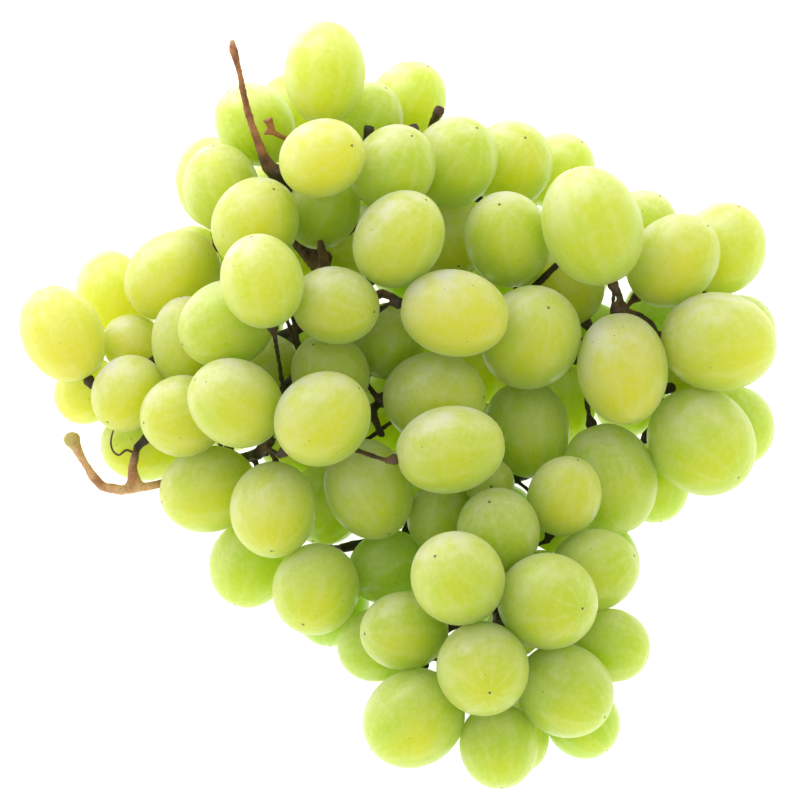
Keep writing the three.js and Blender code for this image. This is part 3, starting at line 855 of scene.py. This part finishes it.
# Painted shade, where the berries crowd round the stem.
SHADE_BROWN = (colour(66, 52, 38), colour(40, 30, 26))
CREASE_BROWN = colour(66, 44, 34)
YOUNG_GREEN = colour(198, 188, 96)
CUT_WOOD = colour(220, 196, 156)

# The scale, per metre, and the detail of the bark's patterns.
BLOTCHES = (260, 4)
CREASES = (1500, 3)


def bark_material():
    """Bark: brown on the stalk, tan on the dry side branch, dull elsewhere, and dark with painted
    shade where the berries crowd round it.
    """
    nodes = Nodes("stem_bark")
    place = nodes.make("ShaderNodeTexCoord").outputs["Object"]
    blotches = nodes.noise(place, *BLOTCHES)
    creases = nodes.noise(place, *CREASES)
    stalk = nodes.mix(nodes.ramp(blotches, 0.4, 0.62), *STALK_BROWN)
    dull = nodes.mix(nodes.ramp(blotches, 0.4, 0.62), *DULL_BROWN)
    dry = nodes.mix(nodes.ramp(blotches, 0.42, 0.66), *DRY_TAN)
    # Painted shade: darker bark where the berries crowd round it.
    inner = nodes.mix(nodes.ramp(blotches, 0.38, 0.6), *SHADE_BROWN)
    shade_mask = nodes.line(blotches, 0.3, nodes.attribute("berry_shade"), clamp=True)
    bark = nodes.mix(nodes.ramp(nodes.attribute("stalk"), 0.1, 0.4), dull, stalk)
    bark = nodes.mix(nodes.ramp(nodes.attribute("dry"), 0.1, 0.4), bark, dry)
    bark = nodes.mix(nodes.ramp(shade_mask, 0.15, 0.55), bark, inner)
    bark = nodes.mix(nodes.times(nodes.ramp(creases, 0.5, 0.7), 0.35), bark, CREASE_BROWN)
    bark = nodes.mix(nodes.ramp(nodes.attribute("young"), 0.1, 0.6), bark, YOUNG_GREEN)
    bark = nodes.mix(nodes.ramp(nodes.attribute("cut"), 0.3, 0.7), bark, CUT_WOOD)
    nodes.link(bark, nodes.shader.inputs["Base Color"])
    nodes.link(nodes.line(blotches, 0.25, 0.5), nodes.shader.inputs["Roughness"])
    nodes.bump(creases, 0.2 * MM, 0.5)
    nodes.shader.inputs["Subsurface Weight"].default_value = 0.1
    nodes.shader.inputs["Subsurface Scale"].default_value = 1 * MM
    return nodes.material


# ---- the floor and the light ---------------------------------------------------------------

FLOOR_SIDE = 4  # metres
FLOOR_GREY = colour(200, 200, 200)
FLOOR_GLOW = 0.95
WHITE = (1, 1, 1, 1)
WORLD_LIGHT = 0.745
WINDOW_PLACE = Vector((-0.2, 0.36, 0.24))  # metres
WINDOW_SIDE = 0.35
WINDOW_POWER = 1
LIGHT_BOUNCES = 8  # between the pale berries


def make_floor():
    """A plain white floor that glows, as a light table does."""
    nodes = Nodes("floor_white")
    nodes.shader.inputs["Base Color"].default_value = FLOOR_GREY
    nodes.shader.inputs["Roughness"].default_value = 0.9
    nodes.shader.inputs["Emission Color"].default_value = WHITE
    nodes.shader.inputs["Emission Strength"].default_value = FLOOR_GLOW
    half = FLOOR_SIDE / 2
    mesh = bpy.data.meshes.new("floor")
    mesh.from_pydata([(-half, -half, 0), (half, -half, 0), (half, half, 0), (-half, half, 0)],
                     [], [(0, 1, 2, 3)])
    show(mesh, nodes.material)


def make_window():
    """A large soft lamp above the bunch's upper left, pointed at it."""
    data = bpy.data.lights.new("window", "AREA")
    data.size = WINDOW_SIDE
    data.energy = WINDOW_POWER
    lamp = bpy.data.objects.new("window", data)
    lamp.location = WINDOW_PLACE
    lamp.rotation_mode = "QUATERNION"
    lamp.rotation_quaternion = (-WINDOW_PLACE).to_track_quat("-Z", "Y")
    bpy.context.scene.collection.objects.link(lamp)


def make_light():
    """Even white light from all round, and the window."""
    world = bpy.data.worlds.new("studio")
    world.use_nodes = True
    background = world.node_tree.nodes["Background"]
    background.inputs["Color"].default_value = WHITE
    background.inputs["Strength"].default_value = WORLD_LIGHT
    scene = bpy.context.scene
    scene.world = world
    scene.view_settings.view_transform = "Standard"
    scene.cycles.use_denoising = True
    scene.cycles.diffuse_bounces = LIGHT_BOUNCES
    make_window()


# ---- the scene -----------------------------------------------------------------------------

CHANCE = 7  # the seed of every random draw


def main():
    rng = np.random.default_rng(CHANCE)
    make_camera()
    make_floor()
    make_light()
    bunch = read_bunch()
    shade_berries(bunch)
    skin = skin_material()
    for node, ovals in bunch.items():
        make_berries(node, ovals, skin, rng)
    bark = bark_material()
    make_stem(bunch, bark)
    make_curl(bark)


main()
